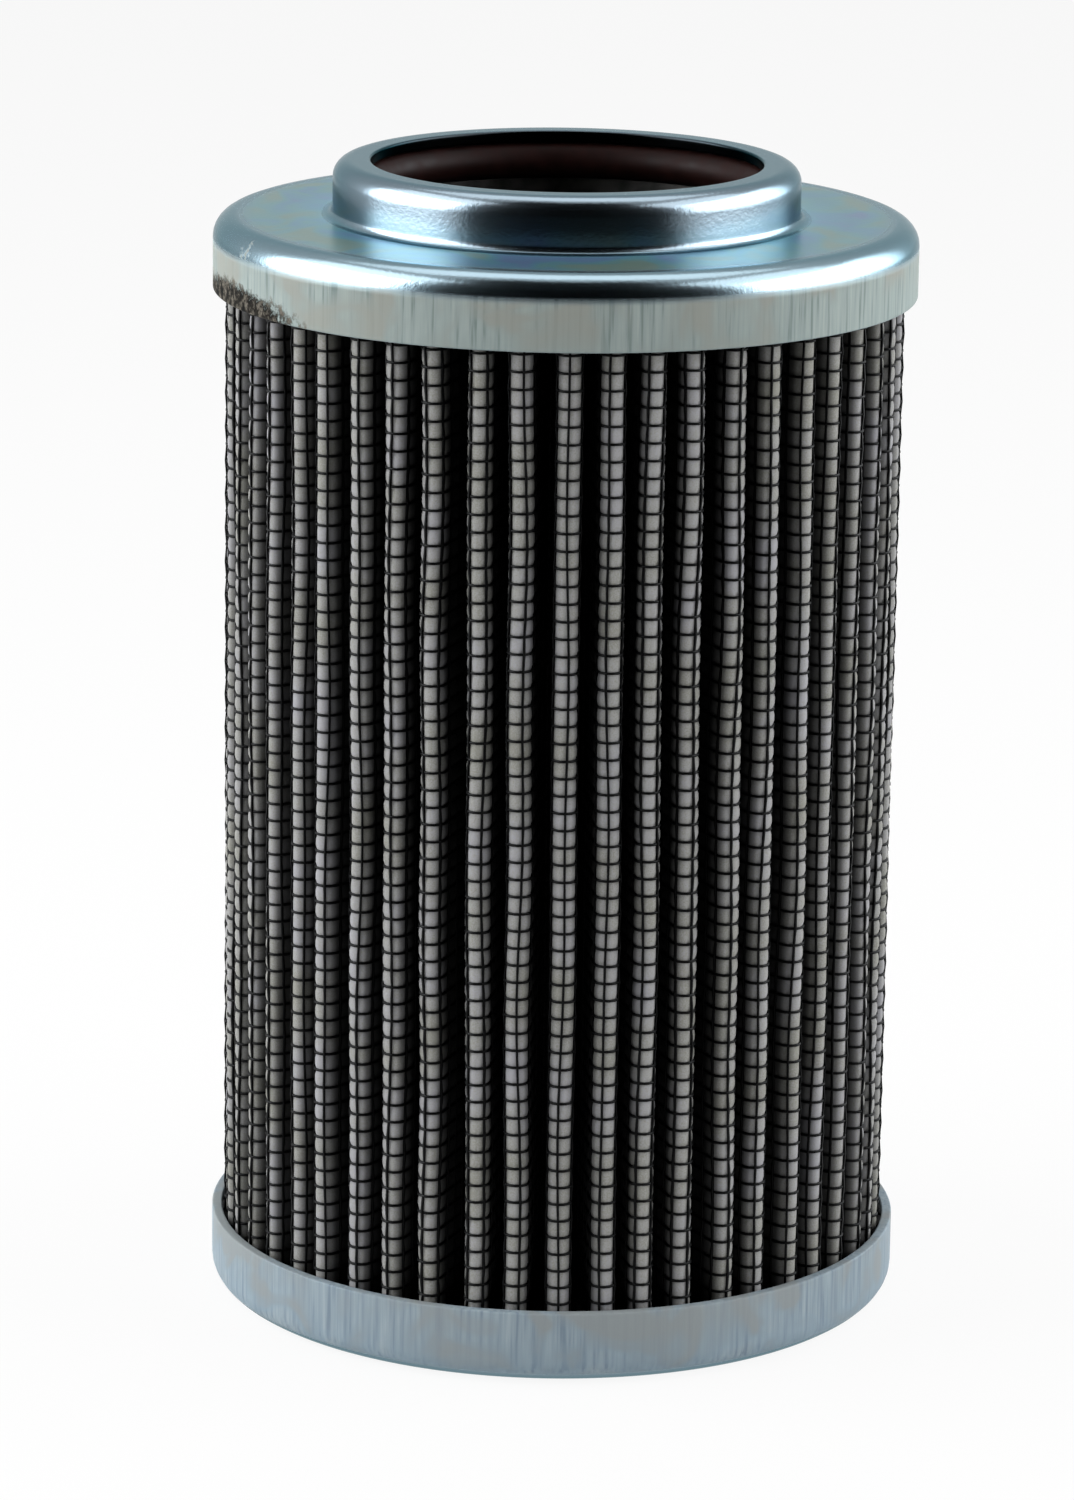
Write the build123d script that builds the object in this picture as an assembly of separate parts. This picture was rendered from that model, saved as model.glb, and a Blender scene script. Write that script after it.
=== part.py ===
from build123d import *

import os
from math import acos, atan2, cos, degrees, floor, hypot, pi, radians, sin

# Hydraulic pressure filter element: a pleated cartridge between two pressed steel end caps.
# Millimetres. The axis is +Z, and the origin is the centre of the closed cap's outer face, where it stands.
# Oil passes inwards through the pleats and the perforated tube, and leaves through the bore at the top.

# Overall sizes
overall_height = 113.0  # closed cap's face to the collar's rim
cap_outer_radius = 34.25  # both end caps, outside the skirt

# Pressed steel end caps
sheet = 1.0  # cap sheet
shoulder_bend = 2.2  # outside bend between skirt and flat face
collar_top_bend = 1.7  # outside bend round the collar's rim
collar_foot_bend = 0.7  # outside bend at the collar's foot
bore_radius = 19.0  # opening in the rim, for the spigot of the filter head
lip_reach = 2.7  # how far the rim's lip stands in from the collar's wall
lip_edge_break = 0.25  # rounding of the opening's upper edge

# Round seal held under the lip
seal_section = 3.5
seal_side_clearance = 0.15  # seal to the collar's wall
seal_height_clearance = 0.3  # spare height in the seal's groove

# Retainer ring, which closes the groove from below and centres the tube's upper end
spigot_room = 0.4  # its bore is this much wider than the lip's, all round
retainer_side_clearance = 0.3  # hub to the collar's wall
retainer_hub = 1.5  # height of the hub above the flange
retainer_flange = 1.3  # flange thickness, under the cap
retainer_flange_reach = 1.6  # flange beyond the collar's foot bend
retainer_lap = 2.0  # how far its lower edge laps over the tube
retainer_lap_wall = 1.1
lap_clearance = 0.1  # lap to the tube

# Perforated support tube
tube_wall = 0.9
hole_radius = 3.0
hole_pitch = 15.0  # least spacing of the holes, along and round the tube
tube_end_land = 6.5  # plain tube beyond the last row

# Pleat pack: sheets folded together, with their thicknesses from the dirty side inwards
mesh_wire = 0.3  # black coated wire mesh
fleece_thickness = 0.25  # pale protective fleece
media_thickness = 0.55  # glass-fibre web with its backing
inner_mesh_thickness = 0.2  # drainage mesh on the clean side
pack_skirt_gap = 0.15  # fold tips to the inside of the skirts
pack_tube_gap = 0.3  # inner folds to the tube
fold_gap = 0.05  # half the slit that is left inside a fold
root_bend = 0.025  # bend radius outside the mesh at a fold's root, which is pressed shut
front_tip_angle = radians(-89.1)  # place of the fold's tip that is nearest the front, at -Y
cross_wires = 2  # crosswise wires drawn, of the 57 that the mesh shows

# Adhesive that beds the pack in the caps
bed_depth = 5.0  # cap's inner face to the surface of the adhesive
adhesive_recess = 1.2  # surface of the adhesive to the skirt's edge
seam_tip_gap = 1.0  # the side seam's adhesive stops this far short of the fold's tip

# Radii, from the bore outwards
collar_inner_radius = bore_radius + lip_reach
collar_outer_radius = collar_inner_radius + sheet
hub_radius = collar_inner_radius - retainer_side_clearance
lap_radius = hub_radius - retainer_lap_wall
tube_outer_radius = lap_radius - lap_clearance
tube_inner_radius = tube_outer_radius - tube_wall
flange_radius = collar_outer_radius + collar_foot_bend + retainer_flange_reach
skirt_inner_radius = cap_outer_radius - sheet
tip_radius = skirt_inner_radius - pack_skirt_gap
inner_fold_radius = tube_outer_radius + pack_tube_gap

# Levels along the axis
groove_floor = overall_height - sheet - seal_height_clearance - seal_section
cap_underside = groove_floor - retainer_hub
shoulder_level = cap_underside + sheet  # flat face of the upper cap
flange_underside = cap_underside - retainer_flange
lap_end_level = flange_underside - retainer_lap
upper_bed_level = cap_underside - bed_depth
upper_edge_level = upper_bed_level - adhesive_recess  # lower edge of the upper skirt
lower_bed_level = sheet + bed_depth
lower_edge_level = lower_bed_level + adhesive_recess  # upper edge of the lower skirt
pack_length = upper_bed_level - lower_bed_level

# The folds. Each sheet is a band between two depths below the outside of the wire mesh.
fleece_depth = mesh_wire
media_depth = fleece_depth + fleece_thickness
drain_depth = media_depth + media_thickness
pack_depth = drain_depth + inner_mesh_thickness
tip_bend = pack_depth + fold_gap  # bend radius outside the mesh at a fold's tip
tip_centre_radius = tip_radius - tip_bend
root_centre_radius = inner_fold_radius + pack_depth + root_bend
narrowest_pitch = 2 * (pack_depth + fold_gap + root_bend)
pleats = floor(2 * pi * root_centre_radius / narrowest_pitch)  # as many as fit round the tube
half_pitch = pi / pleats


def polar(radius, angle):
    """A vector of a length and an angle (radians) about the axis."""
    return Vector(radius * cos(angle), radius * sin(angle), 0)


def flank_angle():
    """Angle between a fold's middle line and the outward normal of its flank.

    The flank is the line that touches the tip's bend on one side and the root's bend on the other.
    One bend grows by what the other loses, so the flank has the same angle at every depth.
    """
    across = polar(tip_centre_radius, 0) - polar(root_centre_radius, half_pitch)
    return atan2(across.Y, across.X) + acos(-(tip_bend + root_bend) / hypot(across.X, across.Y))


flank = flank_angle()
root_turn = 2 * (half_pitch - flank)  # the root bends the other way


def fold_centres(number):
    """Middle angle of a fold, and the centres of its tip's bend and of the next root's bend."""
    middle = front_tip_angle + 2 * half_pitch * number
    return middle, polar(tip_centre_radius, middle), polar(root_centre_radius, middle + half_pitch)


def bend_points(centre, radius, start, turn, sides):
    """Corners of a bend drawn with so many flat sides."""
    return [centre + polar(radius, start + turn * i / sides) for i in range(sides + 1)]


def root_points(middle, root, depth, sides):
    """Corners of a root's bend at a depth below the outside of the mesh."""
    return bend_points(root, root_bend + depth, middle + flank + pi, root_turn, sides)


def flat_fold_line(depth, tip_sides, root_sides):
    """Closed zigzag at a depth below the outside of the mesh, with its bends drawn with flat sides."""
    corners = []
    for number in range(pleats):
        middle, tip, root = fold_centres(number)
        corners += bend_points(tip, tip_bend - depth, middle - flank, 2 * flank, tip_sides)
        corners += root_points(middle, root, depth, root_sides)
    return Wire.make_polygon(corners, close=True)


def round_fold_line(depth):
    """The same zigzag with true arcs at the tips, which show, and pressed roots."""
    edges = []
    starts, ends = [], []
    for number in range(pleats):
        middle, tip, root = fold_centres(number)
        arc = bend_points(tip, tip_bend - depth, middle - flank, 2 * flank, 2)
        pressed = root_points(middle, root, depth, 1)
        edges += [Edge.make_three_point_arc(*arc), Edge.make_line(arc[-1], pressed[0])]
        edges += [Edge.make_line(pressed[0], pressed[1])]
        starts.append(arc[0])
        ends.append(pressed[1])
    edges += [Edge.make_line(ends[i - 1], starts[i]) for i in range(pleats)]
    return Wire(edges)


def wire_fold_line(depth):
    """The zigzag of a crosswise wire: it goes round the tips on flat sides that touch their bends."""
    corners = []
    for number in range(pleats):
        middle, tip, root = fold_centres(number)
        reach = (tip_bend - depth) / cos(flank / 4)
        corners += bend_points(tip, reach, middle - 3 * flank / 4, 3 * flank / 2, 3)
        corners += root_points(middle, root, depth, 1)
    return Wire.make_polygon(corners, close=True)


def folded_band(outside, inside, bottom, height):
    """Closed band between two zigzags, from a level upwards."""
    return Pos(0, 0, bottom) * extrude(Face(outside, [inside]), height, dir=(0, 0, 1))


def outer_mesh():
    """Black wire mesh: two upright wires on each fold's tip, and crosswise wires laid round them."""
    middle_level = lower_bed_level + pack_length / 2
    upright = Pos(tip_bend - 3 * mesh_wire / 4, 0, middle_level) * Box(
        mesh_wire / 2, mesh_wire, pack_length
    )
    wires = []
    for number in range(pleats):
        place = Rot(0, 0, degrees(fold_centres(number)[0])) * Pos(tip_centre_radius, 0, 0)
        wires += [place * Rot(0, 0, degrees(side * flank / 2)) * upright for side in (-1, 1)]
    outside, inside = wire_fold_line(0), wire_fold_line(mesh_wire / 2)
    for number in range(cross_wires):
        level = lower_bed_level + pack_length * (number + 1) / (cross_wires + 1)
        wires.append(folded_band(outside, inside, level - mesh_wire / 2, mesh_wire))
    return Compound([solid for wire in wires for solid in wire.solids()])


fleece_line = round_fold_line(fleece_depth)
media_line = flat_fold_line(media_depth, 2, 2)
drain_line = flat_fold_line(drain_depth, 1, 2)
clean_line = flat_fold_line(pack_depth, 1, 2)


def outer_fleece():
    """Pale fleece, the sheet that shows through the wire mesh."""
    return folded_band(fleece_line, media_line, lower_bed_level, pack_length)


def filter_media():
    """Glass-fibre web and its backing, which do the filtering."""
    return folded_band(media_line, drain_line, lower_bed_level, pack_length)


def inner_mesh():
    """Drainage mesh on the clean side, drawn as a plain sheet."""
    return folded_band(drain_line, clean_line, lower_bed_level, pack_length)


def side_seam():
    """Adhesive strip that closes the folded sheet into a ring, in the slit of the rearmost fold."""
    seam_reach = tip_centre_radius - seam_tip_gap - root_centre_radius
    strip = Pos(root_centre_radius + seam_reach / 2, 0, lower_bed_level + pack_length / 2) * Box(
        seam_reach, 2 * fold_gap, pack_length
    )
    return Rot(0, 0, degrees(fold_centres(pleats // 2)[0])) * strip


def turned(corners):
    """Ring or disc turned about the axis from its half section.

    Each corner is (radius, height), or (radius, height, bend) where it is rounded.
    """
    section = make_face(Polyline(*[(corner[0], 0, corner[1]) for corner in corners], close=True))
    for radius, height, bend in [corner for corner in corners if len(corner) == 3]:
        if bend > 0:
            vertex = section.vertices().sort_by_distance((radius, 0, height))[0]
            section = fillet(vertex, bend)
    return revolve(section, Axis.Z)


def top_end_cap():
    """Pressed cap with the collar: skirt, flat shoulder, collar and the inward lip round the bore."""
    return turned([
        (skirt_inner_radius, upper_edge_level),
        (cap_outer_radius, upper_edge_level),
        (cap_outer_radius, shoulder_level, shoulder_bend),
        (collar_outer_radius, shoulder_level, collar_foot_bend),
        (collar_outer_radius, overall_height, collar_top_bend),
        (bore_radius, overall_height, lip_edge_break),
        (bore_radius, overall_height - sheet),
        (collar_inner_radius, overall_height - sheet, collar_top_bend - sheet),
        (collar_inner_radius, cap_underside, collar_foot_bend + sheet),
        (skirt_inner_radius, cap_underside, shoulder_bend - sheet),
    ])


def bottom_end_cap():
    """Closed pressed cap, a shallow flat-bottomed cup."""
    return turned([
        (0, 0),
        (cap_outer_radius, 0, shoulder_bend),
        (cap_outer_radius, lower_edge_level),
        (skirt_inner_radius, lower_edge_level),
        (skirt_inner_radius, sheet, shoulder_bend - sheet),
        (0, sheet),
    ])


def seal_ring():
    """Round-section seal ring that lies on the retainer, under the lip."""
    ring_radius = collar_inner_radius - seal_side_clearance - seal_section / 2
    return Pos(0, 0, groove_floor + seal_section / 2) * Torus(ring_radius, seal_section / 2)


def seal_retainer():
    """Stepped ring: hub below the seal, flange against the cap, and a lap over the tube's end."""
    return turned([
        (bore_radius + spigot_room, flange_underside),
        (bore_radius + spigot_room, groove_floor),
        (hub_radius, groove_floor),
        (hub_radius, cap_underside),
        (flange_radius, cap_underside),
        (flange_radius, flange_underside),
        (hub_radius, flange_underside),
        (hub_radius, lap_end_level),
        (lap_radius, lap_end_level),
        (lap_radius, flange_underside),
    ])


def support_tube():
    """Perforated steel tube that carries the inner folds, with its holes in staggered rows."""
    length = flange_underside - sheet
    tube = Pos(0, 0, sheet + length / 2) * (
        Cylinder(tube_outer_radius, length) - Cylinder(tube_inner_radius, length)
    )
    first_row = sheet + tube_end_land + hole_radius
    drilled_length = length - 2 * (tube_end_land + hole_radius)
    gaps = floor(drilled_length / hole_pitch)
    holes_per_row = floor(2 * pi * tube_outer_radius / hole_pitch)
    drill = Pos(tube_outer_radius, 0, 0) * Rot(0, 90, 0) * Cylinder(hole_radius, tube_outer_radius)
    drills = []
    for row in range(gaps + 1):
        for number in range(holes_per_row):
            turn = 360 * (number + row % 2 / 2) / holes_per_row
            drills.append(Pos(0, 0, first_row + drilled_length * row / gaps) * Rot(0, 0, turn) * drill)
    return tube - drills


def lower_adhesive():
    """Adhesive bed in the closed cap, round the foot of the tube."""
    return turned([
        (tube_outer_radius, sheet),
        (skirt_inner_radius, sheet, shoulder_bend - sheet),
        (skirt_inner_radius, lower_bed_level),
        (tube_outer_radius, lower_bed_level),
    ])


def upper_adhesive():
    """Adhesive bed in the collared cap, which also grips the retainer's flange."""
    return turned([
        (tube_outer_radius, upper_bed_level),
        (skirt_inner_radius, upper_bed_level),
        (skirt_inner_radius, cap_underside, shoulder_bend - sheet),
        (flange_radius, cap_underside),
        (flange_radius, flange_underside),
        (hub_radius, flange_underside),
        (hub_radius, lap_end_level),
        (tube_outer_radius, lap_end_level),
    ])


pieces = (
    top_end_cap,
    bottom_end_cap,
    seal_ring,
    seal_retainer,
    support_tube,
    outer_mesh,
    outer_fleece,
    filter_media,
    inner_mesh,
    side_seam,
    lower_adhesive,
    upper_adhesive,
)

os.makedirs("parts", exist_ok=True)
for piece in pieces:
    export_step(piece(), f"parts/{piece.__name__}.step")
print("pleats", pleats)
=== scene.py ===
# %% [markdown]
# # A hydraulic filter element, finished in Blender
#
# The real object is a pleated cartridge. Oil comes from outside, passes through a folded pack of
# fleece and glass fibre, and leaves through the bore at the top. Two pressed steel caps hold the
# pack, and a black wire mesh lies over the fleece so that the folds don't burst.
#
# The solids of the model are loaded first and stay where they are. What shows gets a finer mesh
# of the same form, worked out with numpy, and each finish is a material made of nodes.

import bpy
import numpy as np
from mathutils import Matrix, Vector


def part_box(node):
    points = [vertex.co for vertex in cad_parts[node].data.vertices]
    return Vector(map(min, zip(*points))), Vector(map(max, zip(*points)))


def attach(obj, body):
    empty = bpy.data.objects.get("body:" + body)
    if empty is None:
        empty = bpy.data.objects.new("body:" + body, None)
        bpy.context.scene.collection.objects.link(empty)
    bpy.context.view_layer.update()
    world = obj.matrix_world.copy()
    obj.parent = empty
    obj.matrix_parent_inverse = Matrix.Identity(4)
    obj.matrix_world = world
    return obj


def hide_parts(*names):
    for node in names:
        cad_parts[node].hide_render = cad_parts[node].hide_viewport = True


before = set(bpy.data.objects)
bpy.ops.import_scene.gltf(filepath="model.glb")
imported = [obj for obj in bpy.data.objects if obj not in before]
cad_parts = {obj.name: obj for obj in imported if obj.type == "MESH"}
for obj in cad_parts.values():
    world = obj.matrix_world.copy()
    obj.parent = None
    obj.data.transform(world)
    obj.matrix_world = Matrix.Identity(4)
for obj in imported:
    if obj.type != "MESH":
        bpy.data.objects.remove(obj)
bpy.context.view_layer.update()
MM = 0.001

# %% [markdown]
# Every size below is in millimetres. What the loaded solids can tell is read from their boxes:
# the caps, the levels of the adhesive, the tube. What a box can't tell, such as the thickness of
# the sheet or the bend of a fold, is a named value with the same number as the solids have.

# %% Sizes of the object
def box_mm(node):
    """Lowest and highest corner of a solid, as two numpy arrays in millimetres."""
    low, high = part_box(node)
    return np.array(low) / MM, np.array(high) / MM


cap_low, cap_high = box_mm("top_end_cap")
CAP_RADIUS = cap_high[0]
RIM_LEVEL = cap_high[2]
UPPER_EDGE = cap_low[2]
LOWER_EDGE = box_mm("bottom_end_cap")[1][2]
BED_LOW = box_mm("lower_adhesive")[1][2]
BED_HIGH = box_mm("upper_adhesive")[0][2]
TUBE_RADIUS = box_mm("support_tube")[1][0]
RING_LOW = box_mm("seal_ring")[0][2]
RING_RADIUS = box_mm("seal_ring")[1][0]
SHEET = 1.0
SHOULDER_BEND = 2.2
COLLAR_TOP_BEND = 1.7
COLLAR_FOOT_BEND = 0.7
LIP_EDGE_BREAK = 0.25
BORE_RADIUS = 19.0
COLLAR_RADIUS = 22.7
SHOULDER_LEVEL = 107.7
RING_SECTION = 3.5
print("cap radius", round(CAP_RADIUS, 2), "pack from", round(BED_LOW, 2), "to", round(BED_HIGH, 2))

# %% [markdown]
# A mesh is two lists: points, and faces that name their points by number. `foreach_set` hands a
# whole numpy array to Blender at once, which stays fast for the many faces of a woven mesh. Each
# face of a grid joins a point with its right, upper right and upper neighbours, and a grid that
# goes round closes on its own first row or column.

# %% Grids and meshes
def grid_faces(rows, columns, round_rows=False, round_columns=False):
    """Four-sided faces of a grid of points that are numbered row by row."""
    row = np.arange(rows if round_rows else rows - 1)
    column = np.arange(columns if round_columns else columns - 1)
    row, column = np.meshgrid(row, column, indexing="ij")
    up, right = (row + 1) % rows, (column + 1) % columns
    corners = [row * columns + column, row * columns + right, up * columns + right, up * columns + column]
    return np.stack([corner.ravel() for corner in corners], 1)


def repeated(faces, copies, step):
    """The same faces again for each copy, with the point numbers moved on by step each time."""
    return (faces[None] + step * np.arange(copies)[:, None, None]).reshape(-1, faces.shape[1])


def signed_volume(points, faces):
    """Volume inside closed faces: a sum of small pyramids to the origin, negative if they face inwards."""
    first, total = points[faces[:, 0]], 0.0
    for corner in range(1, faces.shape[1] - 1):
        total += (first * np.cross(points[faces[:, corner]], points[faces[:, corner + 1]])).sum() / 6
    return total


def new_object(name, data):
    """An object with this mesh, lamp or camera, linked to the scene."""
    made = bpy.data.objects.new(name, data)
    bpy.context.scene.collection.objects.link(made)
    return made


def make_piece(name, points, *groups, sharp_angle=None):
    """A smooth-shaded, closed mesh object at the origin, from points in millimetres.

    Each group is an array of faces with equally many corners. Faces that point inwards are turned.
    """
    points = np.asarray(points, float).reshape(-1, 3)
    if sum(signed_volume(points, faces) for faces in groups) < 0:
        groups = [faces[:, ::-1] for faces in groups]
    corners = np.concatenate([faces.ravel() for faces in groups])
    counts = np.concatenate([np.full(len(faces), faces.shape[1]) for faces in groups])
    mesh = bpy.data.meshes.new(name)
    mesh.vertices.add(len(points))
    mesh.vertices.foreach_set("co", (points * MM).astype(np.float32).ravel())
    mesh.loops.add(len(corners))
    mesh.loops.foreach_set("vertex_index", corners.astype(np.int32))
    mesh.polygons.add(len(counts))
    mesh.polygons.foreach_set("loop_start", (np.cumsum(counts) - counts).astype(np.int32))
    mesh.update(calc_edges=True)
    mesh.shade_smooth()
    if sharp_angle is not None:
        mesh.set_sharp_from_angle(angle=np.radians(sharp_angle))
    print(name, "triangles", int((counts - 2).sum()))
    return new_object(name, mesh)


def place_piece(piece, node, material):
    """Gives a piece its material, hides the solid it stands for, and lets it ride on the object."""
    piece.data.materials.append(material)
    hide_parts(node)
    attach(piece, "root")


# %% [markdown]
# Materials are made of nodes. Three small functions carry all of them: one turns a colour from
# the usual hex notation into the linear numbers that Blender counts with, one fills a node's
# inputs, and one adds a node and fills it.

# %% Colours and nodes
def linear(hex_colour):
    """Linear red, green, blue and an alpha of 1, from an sRGB colour such as '#8899AA'."""
    channels = np.array([int(hex_colour[place:place + 2], 16) for place in (1, 3, 5)]) / 255
    dark, light = channels / 12.92, ((channels + 0.055) / 1.055) ** 2.4
    return (*np.where(channels <= 0.04045, dark, light).tolist(), 1.0)


def fill(node, inputs):
    """Fills inputs, named or numbered, with a number, a colour, a node's first output or a socket."""
    for key, value in inputs.items():
        source = value.outputs[0] if isinstance(value, bpy.types.Node) else value
        if isinstance(source, bpy.types.NodeSocket):
            node.id_data.links.new(source, node.inputs[key])
        else:
            node.inputs[key].default_value = source


def add(tree, kind, inputs=None, stops=(), **settings):
    """Adds a node, sets its properties and fills its inputs.

    The kind goes without its leading ShaderNode. Stops are the places of a colour ramp, each with
    a hex colour, or with a number for a grey where the ramp's result is used as a number.
    """
    node = tree.nodes.new("ShaderNode" + kind)
    for key, value in settings.items():
        setattr(node, key, value)
    fill(node, inputs or {})
    for number, (position, shade) in enumerate(stops):
        if number >= len(node.color_ramp.elements):
            node.color_ramp.elements.new(position)
        colour = linear(shade) if isinstance(shade, str) else (shade, shade, shade, 1.0)
        node.color_ramp.elements[number].position = position
        node.color_ramp.elements[number].color = colour
    return node


def new_material(name, **surface):
    """A material with a Principled surface, whose plain values are set on its own sockets."""
    material = bpy.data.materials.new(name)
    material.use_nodes = True
    tree = material.node_tree
    shader = tree.nodes["Principled BSDF"]
    for key, value in surface.items():
        shader.inputs[key.replace("_", " ")].default_value = value
    return material, tree, shader


# %% [markdown]
# ## The folded cloth
#
# The pack is one long sheet that is folded 49 times and closed into a ring. Mesh, fleece and
# glass web all follow the same folds, so one function places any point of the cloth. It takes
# the number of mesh wires along the cloth (across the folds), the number of wires up the cloth,
# and a depth below the outer face of the mesh. A wire is then a line where one of the numbers
# is whole, and the fleece can swell in the middle of each cell.
#
# Seen from above, a fold is an arc at its tip, two straight flanks, and a pressed root. Real
# folds are never quite even: the tips sway sideways, the whole pack has a slight twist, and the
# wires wander. All of that is in the same function, so everything still fits together.

# %% The fold's measurements
PLEATS = 49
PACK_DEPTH = 1.3  # mesh, fleece, glass web and drainage mesh together
FOLD_GAP = 0.05
ROOT_BEND = 0.025
TIP_BEND = PACK_DEPTH + FOLD_GAP
PACK_SKIRT_GAP = 0.15
PACK_TUBE_GAP = 0.3
FRONT_TIP = np.radians(-89.1)
HALF_PITCH = np.pi / PLEATS
TIP_CENTRE = CAP_RADIUS - SHEET - PACK_SKIRT_GAP - TIP_BEND
ROOT_CENTRE = TUBE_RADIUS + PACK_TUBE_GAP + PACK_DEPTH + ROOT_BEND

across = np.array([TIP_CENTRE - ROOT_CENTRE * np.cos(HALF_PITCH), -ROOT_CENTRE * np.sin(HALF_PITCH)])
distance = np.hypot(*across)
FLANK = np.arctan2(across[1], across[0]) + np.arccos(-(TIP_BEND + ROOT_BEND) / distance)
FLANK_LENGTH = np.sqrt(distance**2 - (TIP_BEND + ROOT_BEND) ** 2)

WIRE_DEPTH = 0.19  # middle of the mesh, below its outer face
tip_length = (TIP_BEND - WIRE_DEPTH) * FLANK
root_length = (ROOT_BEND + WIRE_DEPTH) * (FLANK - HALF_PITCH)
STAGES = np.array([0.0, 1.0, 2.0, 3.0])  # tip's middle, end of its bend, foot of the flank, root's middle
LENGTHS = np.cumsum([0.0, tip_length, FLANK_LENGTH, root_length])
FOLD_LENGTH = 2 * LENGTHS[-1]

WANTED_PITCH = (1.7, 1.68)  # round the folds and up: about 15 wires to the inch
WIRES_ROUND = int(round(PLEATS * FOLD_LENGTH / WANTED_PITCH[0]))
WIRES_UP = int(round((BED_HIGH - BED_LOW) / WANTED_PITCH[1]))
PITCH_ROUND = PLEATS * FOLD_LENGTH / WIRES_ROUND
PITCH_UP = (BED_HIGH - BED_LOW) / WIRES_UP
print("cloth per fold", round(FOLD_LENGTH, 2), "mm; wires round", WIRES_ROUND, "and up", WIRES_UP)

# %% [markdown]
# Chance makes the folds uneven: each has its own sway, lean and wobble, and the upright wires
# drift a little. The dice start from a set number, so every run gives the same cloth.

# %% The cloth's place in space
dice = np.random.default_rng(15)
SWAY = np.radians(dice.uniform(-0.65, 0.65, PLEATS))  # sideways, one for each fold
LEAN = np.radians(dice.uniform(-0.25, 0.25, PLEATS))
WOBBLE = np.radians(dice.uniform(0.05, 0.16, PLEATS))
WOBBLE_WAVES = dice.uniform(1.5, 3.5, PLEATS)
WOBBLE_START = dice.uniform(0, 2 * np.pi, PLEATS)
ROW_SHIFT = dice.uniform(-0.16, 0.16, PLEATS)  # wires up or down, in wires
DRIFT_START = dice.uniform(0, 2 * np.pi, 2)
DRIFT = ((0.14, 1.3, 9), (0.07, 3.1, 23))  # size in wires, waves up the cloth, waves round it
DRIFT_REACH = 9  # millimetres of cloth beside a tip over which the drift fades away
TWIST = np.radians(-1.0)  # from the bottom to the top


def grip(height):
    """0 at the two edges, which the adhesive holds, and 1 half-way up the cloth."""
    return np.sin(np.pi * np.clip(height, 0, 1)) ** 0.5


def tip_distance(along):
    """Distance in millimetres along the cloth from the nearest fold's tip."""
    return np.abs((along * PITCH_ROUND / FOLD_LENGTH + 0.5) % 1 - 0.5) * FOLD_LENGTH


def wander(along, height):
    """Slow drift of the upright wires, in wires: the sum of two waves, least deep in the folds."""
    turn = 2 * np.pi * along / WIRES_ROUND
    waves = [
        size * np.sin(2 * np.pi * upwards * height + round_it * turn + start)
        for (size, upwards, round_it), start in zip(DRIFT, DRIFT_START)
    ]
    return sum(waves) * np.clip(1 - tip_distance(along) / DRIFT_REACH, 0, 1)


def cloth(along, up, depth):
    """Points of the folded cloth, from wires along it, wires up it and a depth in millimetres.

    The distance along the cloth, less whole folds, gives a stage: 0 to 1 round the tip, 1 to 2 down
    the flank, 2 to 3 round the root. The outward normal turns evenly with the stage in both bends.
    The point is the bend's centre, or a blend of both centres on the flank, plus the normal times
    the bend's radius less the depth. Last, it turns about the axis to its fold's own angle.
    """
    along, up, depth = np.broadcast_arrays(*[np.asarray(v, float) for v in (along, up, depth)])
    height = up / WIRES_UP
    held = grip(height)  # nothing wanders where the adhesive grips
    place = (along + held * wander(along, height)) * PITCH_ROUND
    fold = np.floor(place / FOLD_LENGTH + 0.5)
    place = place - fold * FOLD_LENGTH
    fold = fold.astype(int) % PLEATS
    side = np.where(place < 0, -1.0, 1.0)
    stage = np.interp(np.abs(place), LENGTHS, STAGES)
    normal = side * np.interp(stage, STAGES, [0, FLANK, FLANK, HALF_PITCH])
    inner = np.clip(stage - 1, 0, 1)
    reach = (1 - inner) * TIP_BEND - inner * ROOT_BEND - depth
    x = (1 - inner) * TIP_CENTRE + inner * ROOT_CENTRE * np.cos(HALF_PITCH) + reach * np.cos(normal)
    y = side * inner * ROOT_CENTRE * np.sin(HALF_PITCH) + reach * np.sin(normal)
    wave = WOBBLE[fold] * np.sin(2 * np.pi * WOBBLE_WAVES[fold] * height + WOBBLE_START[fold])
    sway = (1 - inner) * (SWAY[fold] + 2 * (height - 0.5) * LEAN[fold] + wave)
    angle = FRONT_TIP + fold * 2 * HALF_PITCH + sway + TWIST * (height - 0.5)
    z = BED_LOW + (up + held * ROW_SHIFT[fold] * (1 - inner)) * PITCH_UP
    turned = [x * np.cos(angle) - y * np.sin(angle), x * np.sin(angle) + y * np.cos(angle), z]
    return np.stack(turned, -1)


# %% [markdown]
# ### Fleece
#
# The pale fleece is a felt of polyester fibres. The mesh presses into it, so it swells through
# every cell like a small cushion. The cushions show at the edge of each fold, so they are real
# and no bump map: the depth follows the product of two sine arches. Two halves keep each mesh
# under 200,000 triangles.

# %% A closed sheet of cloth
ROOT_PLACES = (LENGTHS[2], LENGTHS[3])  # a flank's foot and the middle of the root


def places_beside_tips(first, last, distances):
    """Places along the cloth, in wires, at some distances on both sides of the tips first to last."""
    beside = np.concatenate([-np.asarray(distances), distances]) / PITCH_ROUND
    tips = np.arange(first, last + 1) * WIRES_ROUND / PLEATS
    return np.unique(np.round((tips[:, None] + beside).ravel(), 6))


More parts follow.
